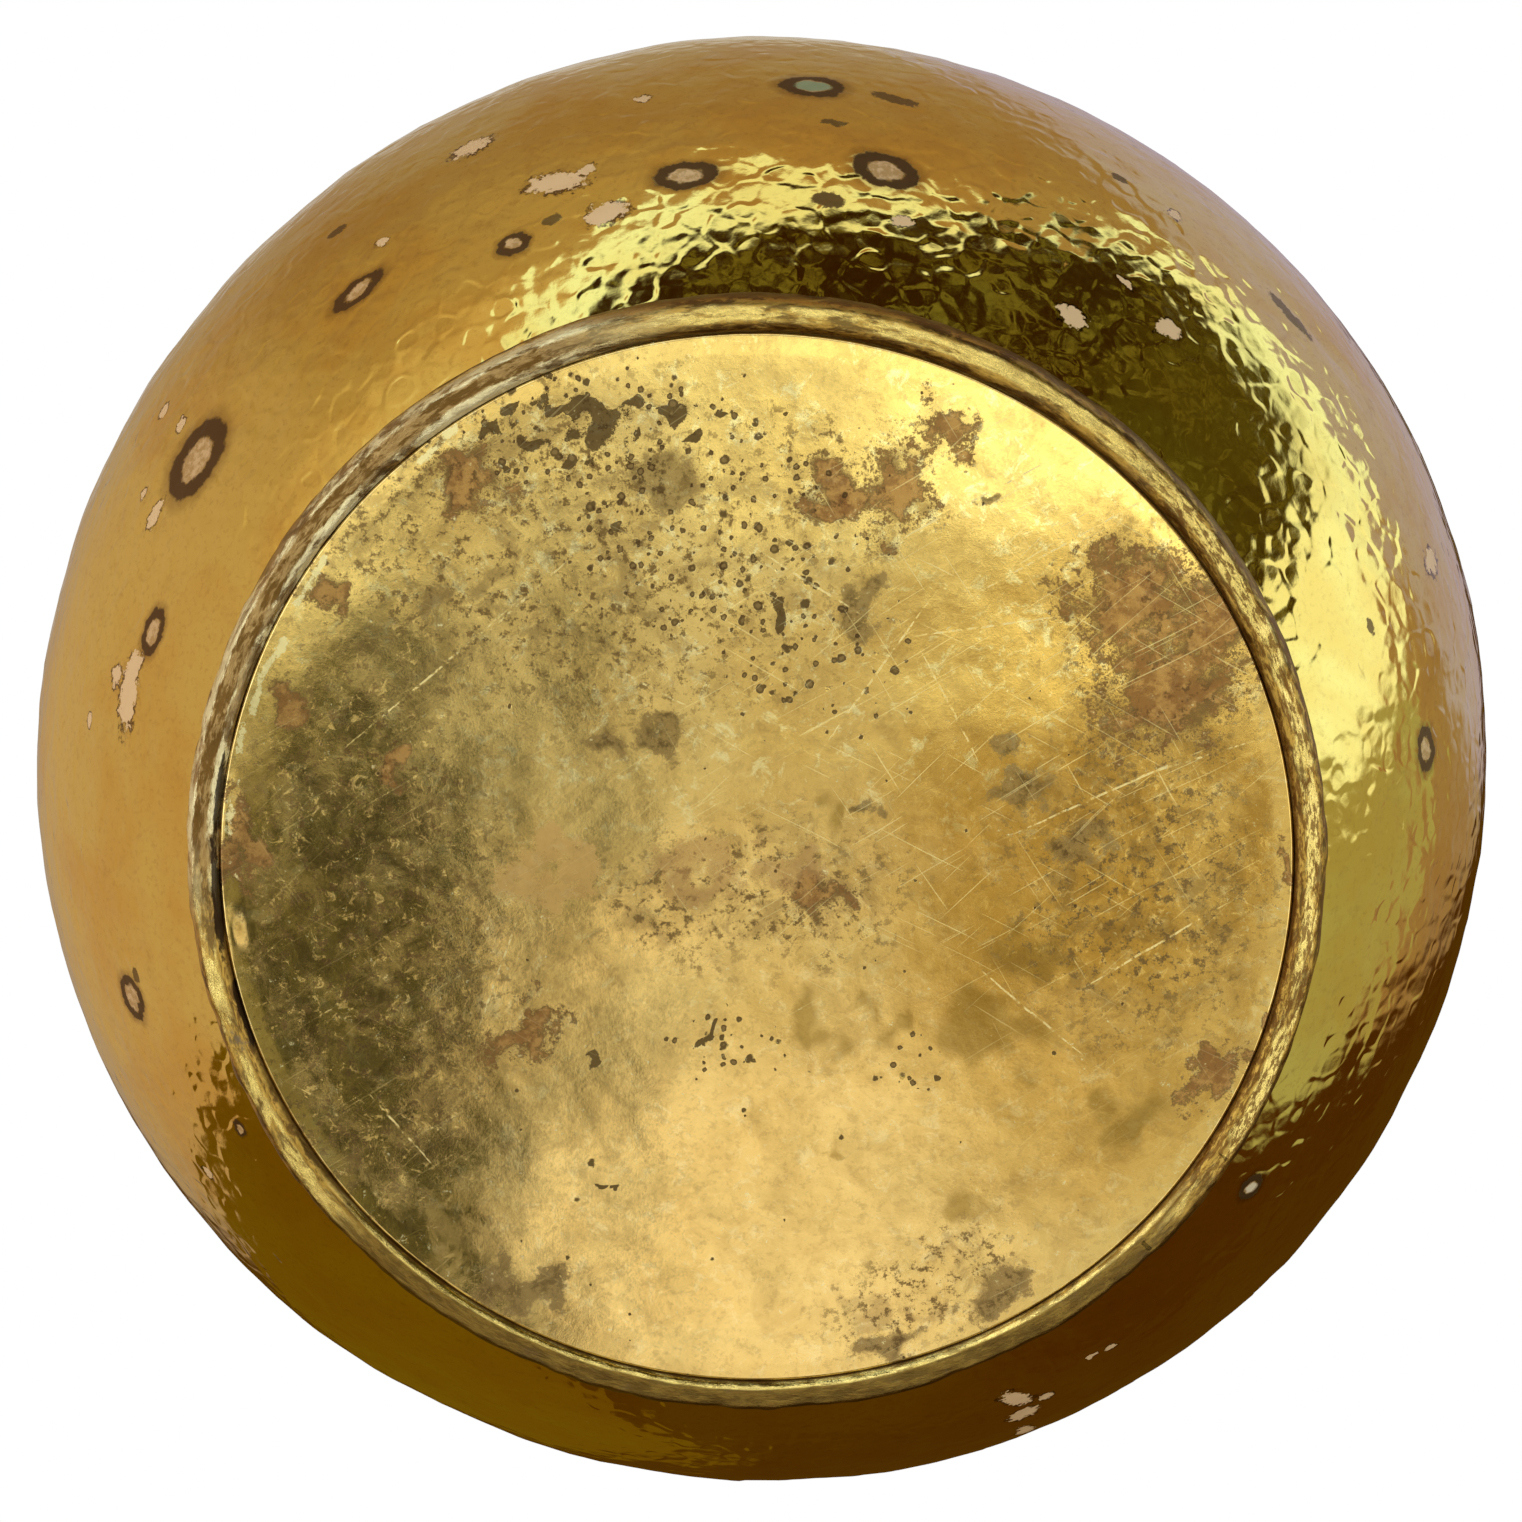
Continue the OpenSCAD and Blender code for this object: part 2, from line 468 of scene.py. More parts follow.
class Sketch:
    """Adds nodes to a material or world. Most methods return the new node's output."""

    def __init__(self, owner):
        owner.use_nodes = True
        self.tree = owner.node_tree
        self.tree.nodes.clear()

    def node(self, kind, **settings):
        made = self.tree.nodes.new("ShaderNode" + kind)
        for key, value in settings.items():
            setattr(made, key, value)
        return made

    def put(self, socket, value):
        if isinstance(value, bpy.types.NodeSocket):
            self.tree.links.new(value, socket)
        else:
            socket.default_value = value

    def fill(self, node, **values):
        """Sets these inputs and returns the node's outputs."""
        for name, value in values.items():
            self.put(node.inputs[name], value)
        return node.outputs

    def output(self, kind, shader):
        """Sends the shader to an output node of this kind."""
        self.put(self.node(kind).inputs["Surface"], shader.outputs[0])

    def math(self, operation, a, b=0.0, clamp=False):
        made = self.node("Math", operation=operation, use_clamp=clamp)
        self.put(made.inputs[0], a)
        self.put(made.inputs[1], b)
        return made.outputs[0]

    def times(self, a, b):
        return self.math("MULTIPLY", a, b)

    def plus(self, a, b, clamp=False):
        return self.math("ADD", a, b, clamp)

    def minus(self, a, b):
        return self.math("SUBTRACT", a, b)

    def vector(self, operation, a, b=(0, 0, 0)):
        made = self.node("VectorMath", operation=operation)
        self.put(made.inputs[0], a)
        if operation == "SCALE":
            self.put(made.inputs["Scale"], b)
        else:
            self.put(made.inputs[1], b)
        return made.outputs["Value" if operation in ("LENGTH", "DOT_PRODUCT") else "Vector"]

    def split(self, vector):
        return self.fill(self.node("SeparateXYZ"), Vector=vector)

    def join(self, **parts):
        return self.fill(self.node("CombineXYZ"), **parts)[0]

    def place(self, vector, at=(0, 0, 0), turn=(0, 0, 0), size=(1, 1, 1)):
        """The vector in a frame at this place, turned so and with these units."""
        made = self.node("Mapping", vector_type="TEXTURE")
        turn = [math.radians(t) for t in turn]
        return self.fill(made, Vector=vector, Location=at, Rotation=turn, Scale=size)[0]

    def noise(self, at, length, detail=3.0, rough=0.5, warp=0.0, colour=False):
        found = self.fill(self.node("TexNoise"), Vector=at, Scale=1 / length, Detail=detail,
                          Roughness=rough, Distortion=warp)
        return found["Color" if colour else "Fac"]

    def wander(self, at, length, detail, rough):
        """Smooth noise round zero, as a vector."""
        noise = self.noise(at, length, detail, rough, colour=True)
        return self.vector("SUBTRACT", noise, (0.5, 0.5, 0.5))

    def cells(self, at, length, feature="F1", colour=False):
        found = self.fill(self.node("TexVoronoi", feature=feature), Vector=at, Scale=1 / length)
        return found["Color" if colour else "Distance"]

    def flats(self, at, size, lean, blend):
        """Height in mm of small flats that each lean their own way, as a hammer leaves them."""
        found = self.fill(self.node("TexVoronoi", feature="SMOOTH_F1"),
                          Vector=at, Scale=1 / size, Smoothness=blend)
        own = self.vector("SUBTRACT", found["Color"], (0.5, 0.5, 0.5))
        offset = self.vector("SUBTRACT", at, found["Position"])
        return self.vector("DOT_PRODUCT", offset, self.vector("SCALE", own, 2 * lean))

    def ramp(self, value, low, high, to_low=0.0, to_high=1.0):
        made = self.node("MapRange", interpolation_type="SMOOTHSTEP")
        self.put(made.inputs["Value"], value)
        for name, number in (("From Min", low), ("From Max", high),
                             ("To Min", to_low), ("To Max", to_high)):
            self.put(made.inputs[name], number)
        return made.outputs[0]

    def mix(self, share, a, b):
        made = self.node("Mix", data_type="RGBA")
        return self.fill(made, Factor=share, A=colour4(a), B=colour4(b))["Result"]

    def bump(self, height, depth, normal=None):
        made = self.node("Bump")
        if normal is not None:
            self.put(made.inputs["Normal"], normal)
        return self.fill(made, Height=height, Distance=depth, Strength=1.0)[0]


def colour4(value):
    return value if isinstance(value, bpy.types.NodeSocket) else (*value, 1.0)


def new_material(name):
    """A metal material, and its sketch, its shader node and the position in millimetres."""
    material = bpy.data.materials.new(name)
    s = Sketch(material)
    shader = s.node("BsdfPrincipled")
    shader.inputs["Metallic"].default_value = 1.0
    s.output("OutputMaterial", shader)
    position = s.node("TexCoord").outputs["Object"]
    return material, s, shader, s.vector("SCALE", position, 1000.0)


def any_of(s, values):
    """The largest of several masks."""
    return reduce(lambda a, b: s.math("MAXIMUM", a, b), values)


def nearest(s, values):
    """The smallest of several distances. Values can be made one by one, as they are needed."""
    return reduce(lambda a, b: s.math("MINIMUM", a, b), values)


# ------- materials

BRASS = (0.9, 0.74, 0.26)
WARM_BRASS = (0.84, 0.6, 0.17)
BROWN = (0.24, 0.12, 0.05)
DARK = (0.12, 0.068, 0.042)
PINK = (0.95, 0.73, 0.58)
VERDIGRIS = (0.26, 0.44, 0.36)

# Ringed corrosion on the wall: angle, height, half-size round, half-size up in mm, turn.
RING_SPOTS = (
    (-145.2, 19.5, 5.7, 4.6, 0), (-159.6, 13.3, 3.1, 2.1, 0), (-125.4, 19.3, 3.9, 1.9, 0),
    (-111.4, 13.8, 2.1, 1.9, 0), (-95.9, 16.9, 3.9, 2.4, 0), (-79.5, 18.6, 4.1, 3.1, -15),
    (-85.9, 32.5, 4, 3, 0), (-8.3, 19.6, 2.8, 2.4, 0), (33.8, 9, 2, 2, 0),
    (166.2, 15.8, 3, 2.7, 0), (152.3, 7.5, 1.2, 1, 0), (120, 92, 3, 2.4, 10),
    (40, 100, 2.4, 2, 0), (-60, 84, 3.6, 2.6, 20), (-150, 105, 2.8, 2.2, 0),
)
# Dark patches with no bare core, in the same terms.
DARK_SPOTS = (
    (-83.9, 13.7, 2.1, 1.3, 0), (-125, 31.5, 1.5, 1, 0), (-79.7, 32, 3.2, 1.1, -10),
    (-44.3, 33, 4.2, 1.6, 0), (-61.2, 33, 1.2, 1, 0), (-84, 25, 1.6, 0.9, 0),
    (-107.7, 15, 1.2, 0.9, 0), (168.5, 13.8, 1, 0.8, 0), (-20.8, 14, 1.2, 0.7, 0),
    (85, 88, 3, 1.6, 20), (-100, 95, 2.2, 1.5, 0),
)
# Bare pinkish patches, in the same terms.
PALE_SPOTS = (
    (-165.8, 14.3, 4.2, 1.9, 10), (-163.3, 14.6, 1.8, 1.6, 0), (-165, 17.2, 1.4, 1.2, 0),
    (-150.7, 25, 0.8, 0.8, 0), (-151.2, 21, 2, 1, 0), (-144.4, 26, 1.1, 0.8, 30),
    (-145.1, 32.5, 1, 1, 0), (-121.9, 23.5, 0.9, 0.8, 0), (-112.9, 32.7, 2.7, 1.9, 0),
    (-106.7, 19.8, 3.6, 1.8, -20), (-104, 20.5, 1.1, 1, 0), (-103, 13.8, 2.6, 1.7, 10),
    (-98.9, 32, 1, 0.9, 0), (-56.2, 32.5, 1, 1.3, 0), (-52.5, 14.8, 1.6, 1.4, 20),
    (-60.5, 9.7, 1.9, 1.5, 0), (-57.5, 16.5, 1.1, 0.5, 0), (-21.9, 30.5, 1.7, 2.2, 0),
    (-77.4, 12.5, 1.5, 0.8, 0), (54.9, 13.3, 0.9, 1, 0), (56.9, 13, 0.8, 0.7, 0),
    (65.5, 19, 2, 2.2, 0), (65, 13.8, 1.4, 3.4, 15), (62.7, 16.7, 1.1, 1.2, 0),
    (66.4, 28, 1.2, 4, 0), (148.5, 17.8, 0.8, 1.1, 0), (-169.8, 20.8, 1, 0.6, 0),
    (150, 70, 3.6, 1.8, 15), (10, 78, 2.6, 1.5, 0),
)


def on_wall(s, where, spot):
    """Distance from a spot on the wall, 1 at its edge."""
    angle, height, wide, tall, turn = spot
    t = math.radians(ellipse_angle(height * MM))
    radius = belly_r / MM * math.cos(t)
    lean = math.atan2(belly_r * math.sin(t), belly_b * math.cos(t))
    a = math.radians(angle)
    centre = (radius * math.cos(a), radius * math.sin(a), height)
    # X out of the wall, Y round the pot and Z up the wall, then turned about X.
    axes = (Matrix.Rotation(a, 3, "Z") @ Matrix.Rotation(-lean, 3, "Y")
            @ Matrix.Rotation(math.radians(turn), 3, "X"))
    euler = [math.degrees(v) for v in axes.to_euler("XYZ")]
    return s.vector("LENGTH", s.place(where, centre, euler, (6, wide, tall)))


def polished_wall():
    """Outside of the wall: bright hammered brass with ringed corrosion spots."""
    material, s, shader, at = new_material("polished_hammered_brass")
    jitter = s.wander(at, 2.4, 3, 0.65)
    loose = s.vector("ADD", at, s.vector("SCALE", jitter, 2.0))
    crumb = s.times(s.minus(s.noise(at, 0.9, 3, 0.65), 0.5), 0.9)
    ringed = nearest(s, (on_wall(s, loose, spot) for spot in RING_SPOTS))
    dark = s.plus(nearest(s, (on_wall(s, loose, spot) for spot in DARK_SPOTS)), crumb)
    rough_crumb = s.times(crumb, 1.8)
    pale = s.plus(nearest(s, (on_wall(s, loose, spot) for spot in PALE_SPOTS)), rough_crumb)
    ring = s.times(s.ramp(ringed, 1.06, 0.94),
                   s.ramp(s.plus(ringed, s.times(crumb, 0.35)), 0.46, 0.6))
    core = s.ramp(ringed, 0.58, 0.5)
    halo = s.ramp(ringed, 1.45, 1.0)
    bare = s.ramp(pale, 1.05, 0.85)
    edge = s.times(s.ramp(pale, 1.35, 1.1), s.ramp(pale, 0.8, 0.95))
    tone = s.ramp(s.noise(at, 22, 4, 0.62, 0.4), 0.38, 0.66)
    colour = s.mix(tone, BRASS, WARM_BRASS)
    film = s.ramp(s.noise(at, 5.0, 6, 0.7, 0.6), 0.52, 0.76, 0.0, 0.42)
    colour = s.mix(film, colour, (0.62, 0.42, 0.14))
    grain = s.ramp(s.noise(at, 0.8, 3, 0.7), 0.5, 0.72, 0.0, 0.3)
    colour = s.mix(grain, colour, (0.52, 0.34, 0.11))
    colour = s.mix(s.times(halo, 0.45), colour, BROWN)
    broken = s.ramp(s.noise(at, 1.7, 3, 0.6), 0.4, 0.56, 0.15, 0.9)
    colour = s.mix(s.times(edge, broken), colour, DARK)
    colour = s.mix(s.times(bare, 0.9), colour, PINK)
    colour = s.mix(s.times(core, 0.72), colour,
                   s.mix(s.ramp(crumb, -0.1, 0.12), (0.6, 0.4, 0.24), PINK))
    blot = s.ramp(dark, 1.05, 0.8, 0.0, 0.8)
    colour = s.mix(any_of(s, [s.times(ring, 0.93), blot]), colour, DARK)
    green = s.ramp(on_wall(s, loose, (-85.9, 32.5, 2.6, 1.6, 0)), 1.0, 0.7, 0.0, 0.85)
    colour = s.mix(green, colour, VERDIGRIS)
    chalk = s.ramp(on_wall(s, loose, (33.8, 9.2, 0.9, 1.1, 0)), 1.1, 0.8)
    colour = s.mix(chalk, colour, (1.0, 0.95, 0.9))
    s.put(shader.inputs["Base Color"], colour)
    crust = s.times(any_of(s, [s.times(core, 0.7), bare, green, chalk]), 0.75)
    crust = s.times(crust, s.minus(1.0, ring))
    s.put(shader.inputs["Metallic"], s.minus(1.0, crust))
    worn = any_of(s, [ring, s.times(core, 0.8), bare, blot])
    fine = s.ramp(s.noise(at, 1.1, 4, 0.7), 0.3, 0.8, 0.06, 0.13)
    s.put(shader.inputs["Roughness"], s.plus(fine, s.times(worn, 0.38), True))
    marks = s.bump(s.flats(at, 2.6, 0.04, 0.8), MM)
    marks = s.bump(s.noise(at, 2.4, 1, 0.5), 0.05 * MM, marks)
    s.put(shader.inputs["Normal"], s.bump(s.noise(at, 1.0, 2, 0.6), 0.01 * MM, marks))
    return material


def inside_brass():
    """Inside of the pot: unpolished, brown-gold and blotchy."""
    material, s, shader, at = new_material("dull_inside_brass")
    blotch = s.ramp(s.noise(at, 18, 5, 0.6, 0.8), 0.35, 0.68)
    spots = s.ramp(s.noise(at, 3.2, 4, 0.7), 0.6, 0.68)
    colour = s.mix(blotch, (0.6, 0.43, 0.16), (0.34, 0.22, 0.085))
    colour = s.mix(s.times(spots, 0.6), colour, BROWN)
    s.put(shader.inputs["Base Color"], colour)
    s.put(shader.inputs["Roughness"], s.ramp(blotch, 0, 1, 0.3, 0.5))
    marks = s.bump(s.cells(at, 4.5, "SMOOTH_F1"), 0.25 * MM)
    s.put(shader.inputs["Normal"], s.bump(s.noise(at, 0.8, 3, 0.6), 0.03 * MM, marks))
    return material


def scratches(s, at, angle, seed, low):
    """Fine straight scratches that all run about one way."""
    bent = s.vector("ADD", at, s.vector("SCALE", s.noise(at, 30, 1, 0.5, colour=True), 3.0))
    lined = s.place(bent, (seed * 13.7, seed * 7.1, 0), (0, 0, angle), (16, 0.22, 1))
    return s.ramp(s.noise(lined, 1.0, 1.0, 0.4), low, low + 0.04)


def on_plate(s, at, x, y, long, wide, turn=0):
    """Distance from a mark on the plate, 1 at its edge. Places are in millimetres."""
    return s.vector("LENGTH", s.place(at, (x, y, 0), (0, 0, turn), (long, wide, 60)))


# Brown stains on the plate: x, y, half-length, half-width in mm, turn in degrees.
STAINS = (
    (42, -32, 7, 5, 20), (46.5, -22, 7.5, 5.5, -35), (51, -30, 3, 6, 20), (20.8, -51, 3.2, 2.4, 15),
    (9.5, -44, 4, 2.3, 5), (16, -44.5, 3.2, 5, 20), (-32, -45, 4.2, 3, 30),
    (53.5, 23.5, 4.6, 2.6, -35), (-26.4, 19, 4.6, 2.4, -30), (-54, -19, 3, 2, 20),
    (-42, -13, 1.6, 1.3, 0), (7, 2.2, 2.6, 1.9, 30), (-48, -33, 2.2, 2.2, 30),
    (-59, -4, 1.8, 5, 0), (60, 18, 0.9, 1.4, 0), (60.5, -2, 0.8, 3, 10),
)
# Grey and olive stains on the plate, in the same terms.
GREY_STAINS = (
    (36.5, -4.2, 4, 2.1, 5), (12.2, -31, 2.3, 2.6, 0), (28.8, 51, 3.8, 2.4, -40),
    (15.8, 56.5, 3.4, 1.7, -10), (-17.5, -16.2, 2.6, 1.3, 10), (-10.8, -16.6, 1.8, 1.7, -20),
    (-11, -45, 3.6, 3.4, 0), (-28, 50, 4, 2.6, 20), (28.5, -15.5, 1.6, 1.9, 0),
    (31, -10.5, 3.2, 1.6, -25), (13, -8, 1.2, 1.4, 0), (-36, -33, 1.3, 1.6, 0),
    (26, -43.5, 1.4, 0.8, 10),
)
# Dark blotches where the pits run together, in the same terms.
BLOTCHES = (
    (-18.2, -51.5, 2.8, 2.2, 40), (-26.5, -52.5, 1.9, 1.2, -20), (-23.5, -50, 1.5, 1.1, 0),
    (-9.5, -53.5, 2.6, 0.8, -10), (-14, -54, 1.6, 1, 0), (-22.5, -55, 1.3, 1, 0),
    (-5.7, 19.5, 1.6, 0.5, -10), (-19.6, 21.8, 1.5, 0.4, -60), (-18, 36.5, 1.4, 0.5, 5),
    (-21.5, -47.5, 1.3, 0.9, 30), (-27, -47, 1, 0.7, 0), (-12.5, -49, 1.1, 0.8, 0),
    (-6, -49.5, 1.2, 0.7, 20), (-2.5, -52.5, 1, 0.8, 0), (-30, -49, 0.9, 0.7, 0),
    (1.5, -30, 1.8, 1.1, 0), (-17.5, -47, 1.2, 0.8, 0), (4.5, -27, 1.2, 0.9, 0),
)
# Soft dark streaks of painted shade where the plate is slightly creased, in the same terms.
CREASE_SHADE_STREAKS = (
    (6.4, 17, 2.3, 5, 8), (15.8, 17, 2.1, 4.2, -6), (27, 18, 7, 4.5, 0), (44, 29, 6, 3.5, -35),
    (9.5, -8, 1.6, 2.8, 10), (24, 40, 4, 1.8, 0), (9, 33, 2.4, 1, 10), (33, 10, 5, 3, 20),
)
# Soft halos of painted shade round three small bumps beaten up from inside.
BUMP_SHADE_RINGS = ((-23.5, -0.6, 5, 4.6, 0), (-7, -0.5, 4.6, 4.2, 0), (4.6, -1, 4, 3.4, 0))
# Where the fine speckle is thick: x, y, half-length, half-width, turn.
FOXED = (
    (-22, -38, 34, 22, 10), (8, -46, 13, 8, 20), (-44, 6, 17, 44, 0), (46, -26, 14, 17, 10),
    (44, 2, 17, 20, 0), (0, 2, 20, 9, 0), (20, 50, 14, 7, -30),
)
# Where the pits crowd.
CROWDED = (
    (-14, -50, 26, 11, 8), (-20, -52, 16, 8, 0), (-4, -36, 22, 13, 25), (-5, 20, 9, 4, 0),
    (18, 22, 5, 5, 0), (6, -24, 13, 7, 0),
)
# The painted highlight along the plate's margin: radius in mm and the middle of its run in degrees.
MARGIN_HIGHLIGHT_R = 60.4
MARGIN_HIGHLIGHT_TURN = -148
# Long single scratches: x, y of the middle, half-length in mm, turn in degrees.
LONG_SCRATCHES = (
    (-36, -24, 17, -40), (-26, -32, 8, -42), (24, -43, 12, -28), (34, -38, 13, -30), (6, -34, 9, 32),
    (26, -29, 10, -8), (40, -10, 15, -25), (22, -20, 9, 62), (-12, -22, 7, 28), (46, 8, 12, -32),
    (14, -24, 13, -55), (50, -14, 8, -18), (-30, 12, 9, -70), (-42, 30, 8, 50), (32, 16, 10, 40),
)


def worn_plate():
    """Underside of the base plate: rubbed, scratched, stained and pitted brass."""
    material, s, shader, at = new_material("worn_scratched_brass")

    def painted(name):
        return s.node("Attribute", attribute_name=name).outputs["Fac"]

    def ragged(distance, fuzz, low=1.15, high=0.85):
        return s.ramp(s.plus(distance, fuzz), low, high)

    jitter = s.wander(at, 5.0, 4, 0.65)
    loose = s.vector("ADD", at, s.vector("SCALE", jitter, 7.0))
    specks = s.minus(s.noise(at, 1.5, 7, 0.78), 0.5)
    fuzz = s.times(specks, 4.2)
    fine_fuzz = s.times(specks, 2.2)
    stain = ragged(painted("stains"), fuzz, 1.3, 0.9)
    heart = ragged(painted("stains"), fuzz, 0.95, 0.6)
    grey = ragged(painted("grey_stains"), fuzz, 1.35, 0.8)
    blotch = ragged(painted("blotches"), fine_fuzz, 1.05, 0.9)
    bump_shade = painted("bump_shade")
    # A halo of painted shade round each bump.
    halo = s.times(ragged(bump_shade, fine_fuzz, 1.2, 0.8), s.ramp(bump_shade, 0.1, 0.4))
    foxed = s.ramp(painted("foxed"), 1.25, 0.45)
    crowd = s.ramp(painted("crowded"), 1.2, 0.5)

    # Colour of the clean metal, mottled at three scales.
    broad = s.ramp(s.noise(at, 24, 4, 0.6, 0.5), 0.36, 0.66)
    cloud = s.ramp(s.noise(at, 6.5, 6, 0.66, 0.8), 0.42, 0.7)
    amber = s.ramp(on_plate(s, loose, 42, 0, 30, 46), 1.15, 0.55)
    colour = s.mix(s.times(broad, 0.6), (0.9, 0.72, 0.34), (0.84, 0.62, 0.25))
    colour = s.mix(s.times(amber, 0.6), colour, (0.84, 0.58, 0.17))
    colour = s.mix(s.times(cloud, 0.5), colour, (0.58, 0.42, 0.17))
    # Pale mottle over the metal, made stronger where the plate is lit: grain and painted highlight.
    light = s.ramp(s.noise(s.vector("ADD", at, (9, 70, 0)), 2.6, 6, 0.76, 0.5), 0.53, 0.64)
    lit = s.ramp(on_plate(s, at, 6, -34, 50, 30), 1.3, 0.6, 0.35, 0.85)
    colour = s.mix(s.times(light, lit), colour, (1.0, 0.95, 0.64))

    # Painted shade of the plate's slight creases, darkening the metal's colour.
    painted_crease_shade = s.ramp(s.plus(painted("crease_shade"), s.times(fine_fuzz, 0.6)), 1.25, 0.5)
    colour = s.mix(s.times(painted_crease_shade, 0.72), colour, (0.42, 0.3, 0.09))

    # Tarnish: fine speckle, brown and grey stains.
    film = s.times(s.ramp(specks, 0.02, 0.09), s.plus(foxed, 0.2))
    veil = s.times(s.ramp(s.noise(at, 4.2, 6, 0.72, 0.6), 0.46, 0.62), foxed)
    colour = s.mix(s.times(veil, 0.62), colour, (0.4, 0.29, 0.14))
    colour = s.mix(s.times(film, 0.82), colour, (0.23, 0.155, 0.075))
    rust = s.ramp(s.noise(at, 2.4, 5, 0.7), 0.42, 0.58)
    rust = s.mix(rust, (0.25, 0.12, 0.055), (0.46, 0.275, 0.12))
    shade = s.mix(heart, (0.15, 0.085, 0.045), rust)
    colour = s.mix(s.times(stain, 0.88), colour, shade)
    # Painted shade round the bumps.
    colour = s.mix(s.times(halo, 0.6), colour, (0.52, 0.33, 0.17))
    gritty = s.mix(s.ramp(specks, -0.03, 0.06), (0.27, 0.19, 0.1), (0.09, 0.055, 0.03))
    colour = s.mix(s.times(grey, 0.8), colour, gritty)

    # Pits: small irregular dots, thick in a few places and rare elsewhere.
    dots, rims = [], []
    wobble = s.vector("ADD", at, s.vector("SCALE", s.wander(at, 0.9, 2, 0.6), 0.55))
    for length, seed, small, large in ((1.15, 0, 0.16, 0.34), (1.9, 7, 0.14, 0.3),
                                       (3.0, 15, 0.12, 0.24)):
        shifted = s.vector("ADD", wobble, (seed, seed, 0))
        near = s.cells(shifted, length)
        luck = s.split(s.cells(shifted, length, colour=True))["X"]
        chance = s.plus(luck, s.times(crowd, 0.47))
        size = s.ramp(chance, 0.97, 1.4, small, large)
        there = s.math("GREATER_THAN", chance, 0.98)
        inside = s.minus(size, near)
        dots.append(s.times(there, s.ramp(inside, -0.03, 0.03)))
        rims.append(s.times(there, s.ramp(inside, 0.1, 0.17)))
    dot = s.math("MAXIMUM", any_of(s, dots), blotch)
    colour = s.mix(s.times(dot, 0.88), colour, (0.08, 0.048, 0.025))
    colour = s.mix(s.times(any_of(s, rims), 0.45), colour, (0.42, 0.31, 0.16))

    # Scratches: a thin scatter of short ones and a few long ones, paler than the metal, with a
    # painted sheen.
    breaks = s.ramp(s.noise(at, 1.6, 3, 0.7), 0.4, 0.6)
    lines = any_of(s, (scratches(s, at, *kind) for kind in
                       ((-30, 1, 0.7), (-44, 2, 0.72), (58, 3, 0.73), (28, 5, 0.72))))
    reach = s.ramp(on_plate(s, at, 22, -18, 40, 34, -20), 1.25, 0.6, 0.35, 1.0)
    lines = s.times(lines, reach)
    bent = s.vector("ADD", at, s.vector("SCALE", jitter, 0.5))
    long_lines = nearest(s, (on_plate(s, bent, x, y, half, 0.16, turn)
                             for x, y, half, turn in LONG_SCRATCHES))
    cut = s.times(s.ramp(long_lines, 1.0, 0.6), breaks)
    line = s.math("MAXIMUM", s.times(lines, 0.62), cut)
    # Real scratches, painted pale as a sheen of the light they scatter.
    colour = s.mix(s.times(line, 0.78), colour, (1.0, 0.92, 0.6))
    # A thin pale painted highlight along the margin, with less metal in it.
    margin_highlight = s.ramp(s.minus(painted("margin_highlight"), s.times(specks, 4.0)), 0.45, 0.8)
    colour = s.mix(s.times(margin_highlight, 0.9), colour, (1.0, 0.96, 0.64))
    s.put(shader.inputs["Metallic"], s.minus(1.0, s.times(margin_highlight, 0.5)))
    s.put(shader.inputs["Base Color"], colour)

    haze = s.ramp(s.noise(at, 6, 7, 0.74, 0.5), 0.42, 0.62, 0.07, 0.15)
    fleck = s.ramp(s.noise(s.vector("ADD", at, (31, 8, 0)), 1.7, 7, 0.8, 0.6), 0.565, 0.61)
    haze = s.plus(haze, s.times(fleck, s.ramp(foxed, 0.0, 0.8, 0.05, 0.15)))
    roughest = ((stain, 0.2), (grey, 0.14), (film, 0.1), (dot, 0.3), (line, 0.25), (halo, 0.2))
    rough = any_of(s, [s.times(mask, amount) for mask, amount in roughest])
    s.put(shader.inputs["Roughness"], s.plus(haze, rough, True))
    waves = s.bump(s.noise(at, 5, 3, 0.55, 0.3), 0.016 * MM)
    grain = s.bump(specks, 0.01 * MM, waves)
    s.put(shader.inputs["Normal"], s.bump(dot, -0.03 * MM, grain))
    return material


# Where the joint inside the bead has opened, painted near black as shade in the gap: x, y,
# half-width, half-length, turn.
SHADED_CRACKS = ((-61.9, 3, 0.5, 7, -2), (-61.2, -9.5, 0.45, 5, 8), (-59.6, 16, 0.35, 4, -14))


